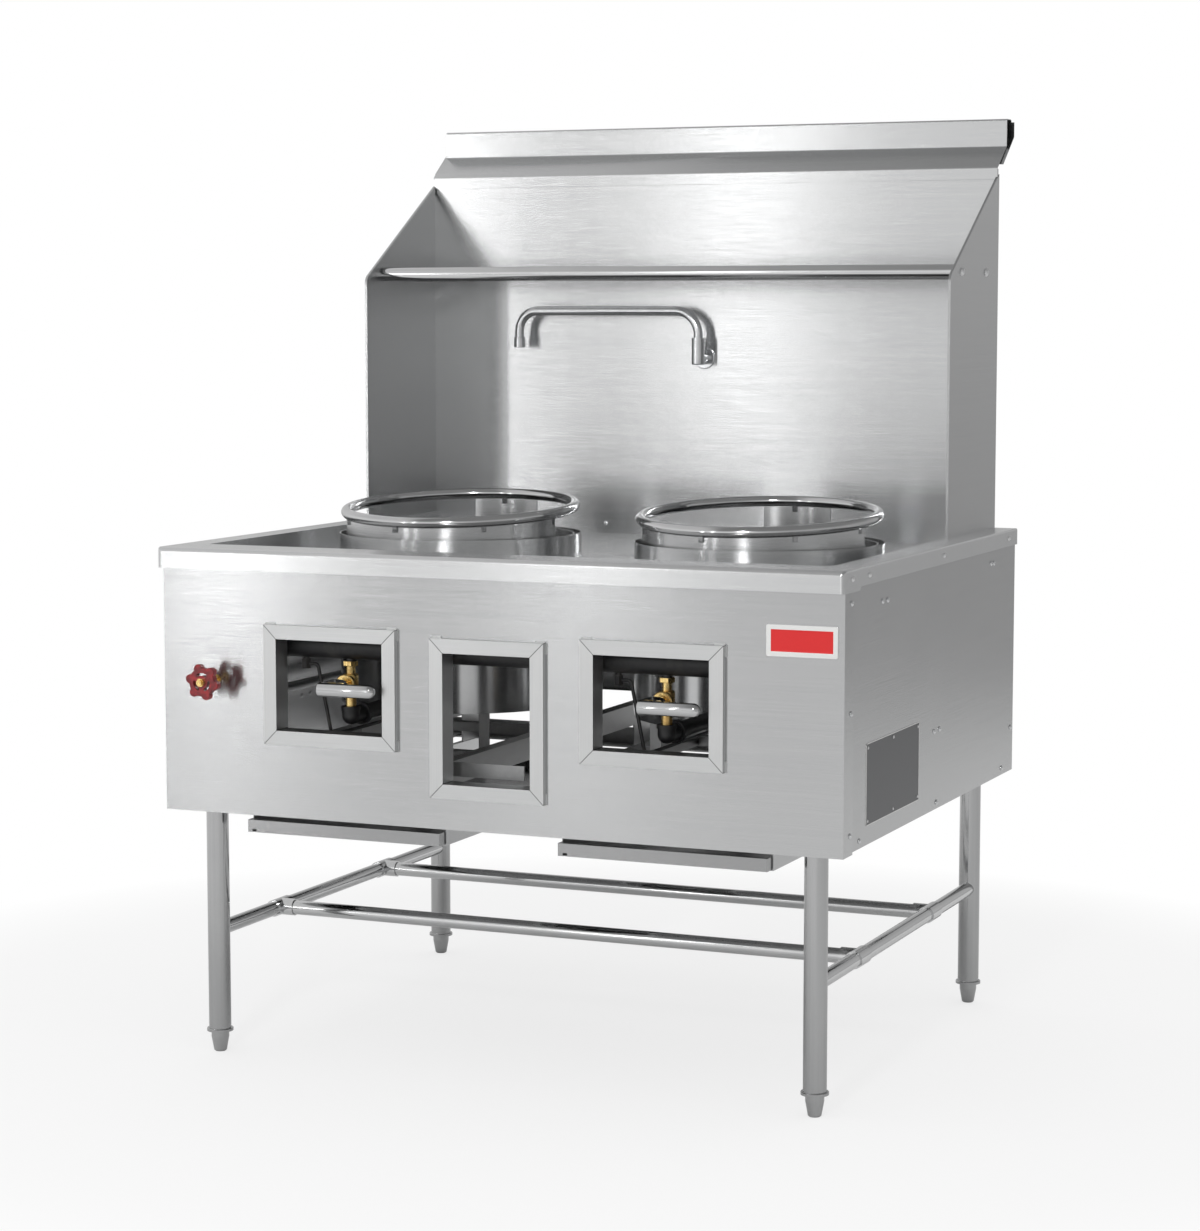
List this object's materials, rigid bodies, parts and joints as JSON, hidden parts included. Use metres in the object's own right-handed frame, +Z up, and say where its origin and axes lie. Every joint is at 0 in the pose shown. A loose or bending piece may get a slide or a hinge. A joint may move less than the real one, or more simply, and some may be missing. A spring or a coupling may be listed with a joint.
{
  "type": "wok range",
  "caption": "Floor-standing wok range with round fire wells in a sunken counter, knee-lever gas valves, a tall splash with rack rods and a swinging faucet.",
  "frame": {"origin": "On the floor, under the middle of the range's whole width and depth.", "axes": "+X to the cook's right, +Y from the cook's side towards the splash, +Z up."},
  "size_m": [1.225, 1.104, 1.617],
  "materials": {
    "sheet_steel": "satin brushed stainless sheet",
    "tube_steel": "polished stainless tube",
    "frame_steel": "mill-finish structural steel",
    "chrome": "polished chrome plate",
    "black_iron": "black iron pipe and fittings",
    "cast_burner": "bare cast iron",
    "brass": "bare yellow brass",
    "red_enamel": "gloss red enamel",
    "zinc": "zinc-plated fastener"
  },
  "bodies": {
    "range": {"counter_top": "sheet_steel", "counter_lip_bolts": "zinc", "front_panel": "sheet_steel", "left_window_frame": "sheet_steel", "middle_window_frame": "sheet_steel", "right_window_frame": "sheet_steel", "left_side_panel": "sheet_steel", "right_side_panel": "sheet_steel", "rear_panel": "sheet_steel", "base_frame": "frame_steel", "legs": "tube_steel", "leg_sockets": "tube_steel", "side_stretchers": "tube_steel", "cross_stretchers": "tube_steel", "stretcher_tees": "tube_steel", "left_burner_drum": "sheet_steel", "right_burner_drum": "sheet_steel", "left_ring_holder": "sheet_steel", "right_ring_holder": "sheet_steel", "left_jet_burner": "cast_burner", "right_jet_burner": "cast_burner", "drum_legs": "frame_steel", "drum_cross_bars": "frame_steel", "burner_rails": "frame_steel", "gas_manifold": "black_iron", "manifold_hangers": "black_iron", "gas_inlet_pipe": "black_iron", "supply_pipes": "black_iron", "left_gas_valve": "brass", "right_gas_valve": "brass", "pilot_lines": "black_iron", "water_valve": "brass", "water_pipe": "zinc", "water_inlet_pipe": "zinc", "faucet_flange": "chrome", "faucet_body": "chrome", "splash_panel": "sheet_steel", "left_wing": "sheet_steel", "right_wing": "sheet_steel", "splash_cap": "sheet_steel", "rack_rods": "tube_steel", "rack_rod_bolts": "zinc", "tray_runners": "sheet_steel"},
    "left_ring": {"left_wok_ring": "sheet_steel"},
    "right_ring": {"right_wok_ring": "sheet_steel"},
    "left_lever": {"left_knee_lever": "sheet_steel", "left_lever_stem": "brass"},
    "right_lever": {"right_knee_lever": "sheet_steel", "right_lever_stem": "brass"},
    "handwheel": {"water_handwheel": "red_enamel", "water_valve_stem": "brass", "handwheel_nut": "brass"},
    "spout": {"faucet_spout": "chrome"},
    "left_tray": {"left_drip_tray": "sheet_steel"},
    "right_tray": {"right_drip_tray": "sheet_steel"},
    "front_left_leveller": {"front_left_foot": "tube_steel"},
    "front_right_leveller": {"front_right_foot": "tube_steel"},
    "rear_left_leveller": {"rear_left_foot": "tube_steel"},
    "rear_right_leveller": {"rear_right_foot": "tube_steel"}
  },
  "joints": [
    {"name": "left_ring_lift", "type": "slide", "parent": "range", "child": "left_ring", "axis": [0, 0, 1], "range_m": [0, 0.12]},
    {"name": "right_ring_lift", "type": "slide", "parent": "range", "child": "right_ring", "axis": [0, 0, 1], "range_m": [0, 0.12]},
    {"name": "left_valve_turn", "type": "hinge", "parent": "range", "child": "left_lever", "pos_m": [-0.285, -0.463, 0.65], "axis": [0, 1, 0], "range_deg": [0, 90]},
    {"name": "right_valve_turn", "type": "hinge", "parent": "range", "child": "right_lever", "pos_m": [0.285, -0.463, 0.65], "axis": [0, 1, 0], "range_deg": [0, 90]},
    {"name": "handwheel_turn", "type": "hinge", "parent": "range", "child": "handwheel", "pos_m": [-0.505, -0.538, 0.654], "axis": [0, -1, 0], "range_deg": [0, 1080]},
    {"name": "spout_swing", "type": "hinge", "parent": "range", "child": "spout", "pos_m": [0, 0.434, 1.2], "axis": [0, 0, 1], "range_deg": [0, 180]},
    {"name": "left_tray_slide", "type": "slide", "parent": "range", "child": "left_tray", "axis": [0, -1, 0], "range_m": [0, 0.6]},
    {"name": "right_tray_slide", "type": "slide", "parent": "range", "child": "right_tray", "axis": [0, -1, 0], "range_m": [0, 0.6]},
    {"name": "front_left_foot_screw", "type": "slide", "parent": "range", "child": "front_left_leveller", "axis": [0, 0, -1], "range_m": [0, 0.02]},
    {"name": "front_right_foot_screw", "type": "slide", "parent": "range", "child": "front_right_leveller", "axis": [0, 0, -1], "range_m": [0, 0.02]},
    {"name": "rear_left_foot_screw", "type": "slide", "parent": "range", "child": "rear_left_leveller", "axis": [0, 0, -1], "range_m": [0, 0.02]},
    {"name": "rear_right_foot_screw", "type": "slide", "parent": "range", "child": "rear_right_leveller", "axis": [0, 0, -1], "range_m": [0, 0.02]}
  ]
}
